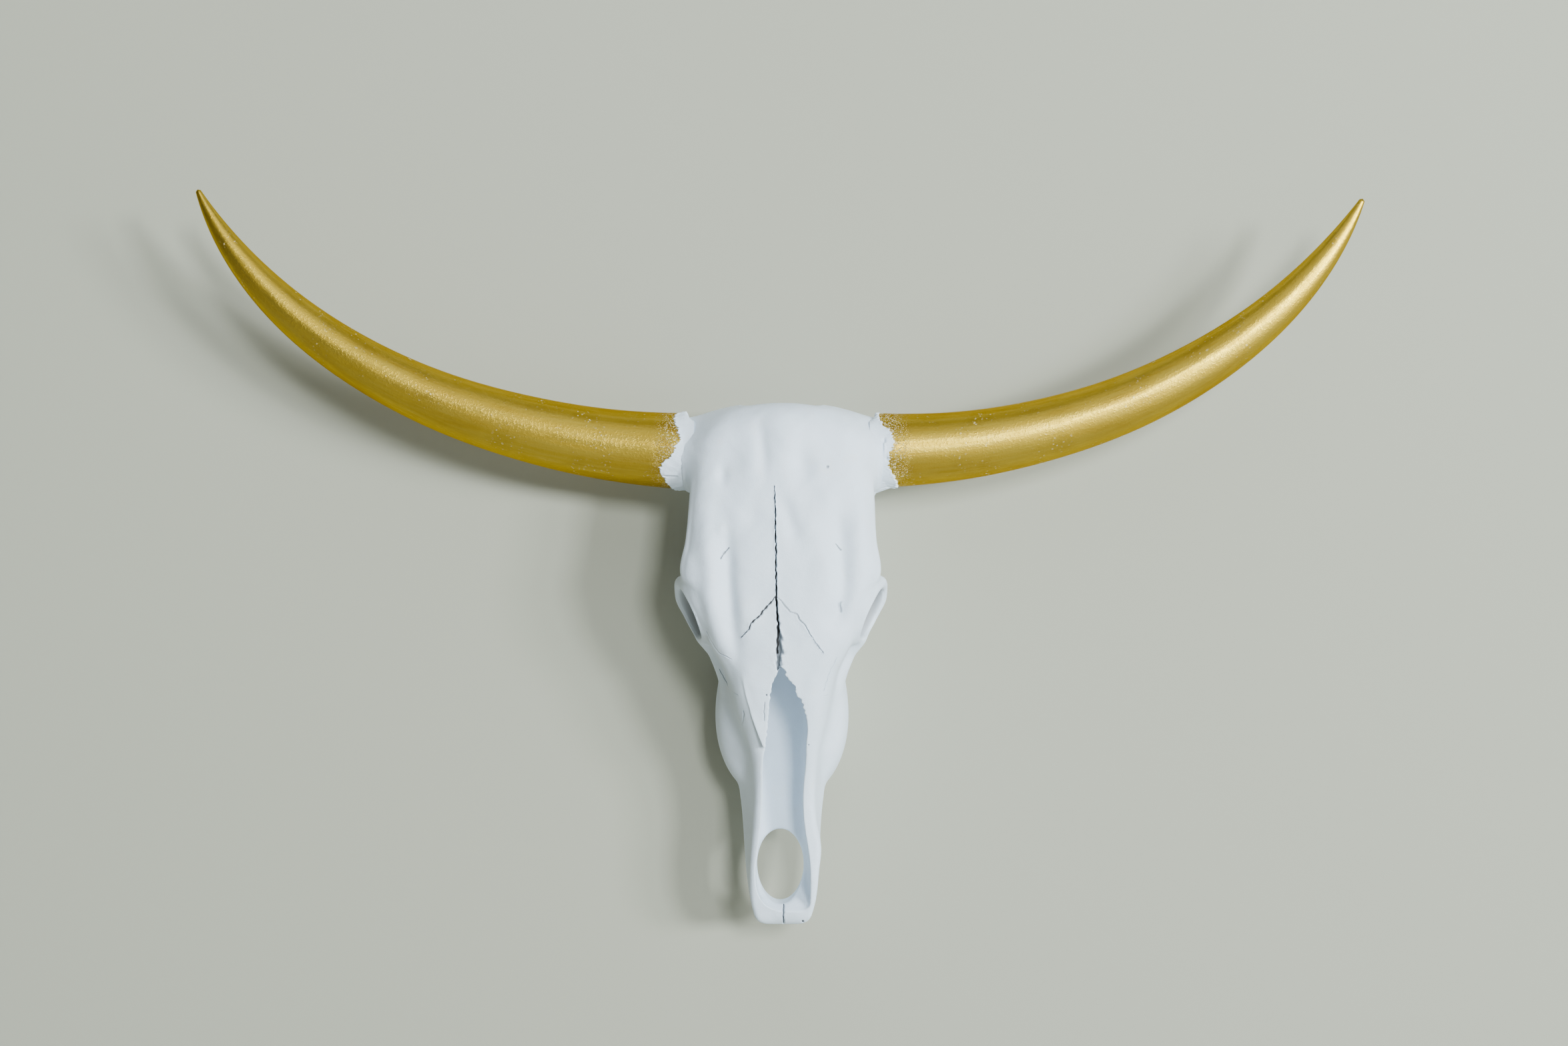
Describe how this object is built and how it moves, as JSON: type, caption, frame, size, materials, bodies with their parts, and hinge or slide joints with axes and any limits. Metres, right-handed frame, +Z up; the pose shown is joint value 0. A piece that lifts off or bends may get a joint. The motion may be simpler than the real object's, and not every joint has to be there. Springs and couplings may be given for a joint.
{
  "type": "wall-hung longhorn skull ornament",
  "caption": "Cast resin replica of a longhorn steer skull with wide, upswept gilded horns, hung flat on a wall from a keyhole plate in its back.",
  "frame": {"origin": "middle of the wall plane behind the skull's upper back pad, where the ornament rests on the wall", "axes": "+Z up along the wall towards the crown, +X to the right as seen from the front, -Y out of the wall towards the viewer"},
  "size_m": [1.1206, 0.1531, 0.7119],
  "materials": {
    "white_resin": "matt bluish-white paint on cast resin",
    "gold_paint": "satin metallic gold leaf paint, brushed lengthwise and worn to brown",
    "hanger_steel": "zinc-plated sheet steel"
  },
  "bodies": {
    "root": {"horn_core_left": "white_resin", "horn_core_right": "white_resin", "orbit_left": "white_resin", "orbit_right": "white_resin", "cheek_arch_left": "white_resin", "cheek_arch_right": "white_resin", "nasal_left": "white_resin", "nasal_right": "white_resin", "premaxilla_left": "white_resin", "premaxilla_right": "white_resin", "maxilla_left": "white_resin", "maxilla_right": "white_resin", "cranium": "white_resin", "horn_left": "gold_paint", "horn_right": "gold_paint", "hanger_plate": "hanger_steel", "hanger_screw_upper": "hanger_steel", "hanger_screw_lower": "hanger_steel"}
  },
  "joints": []
}
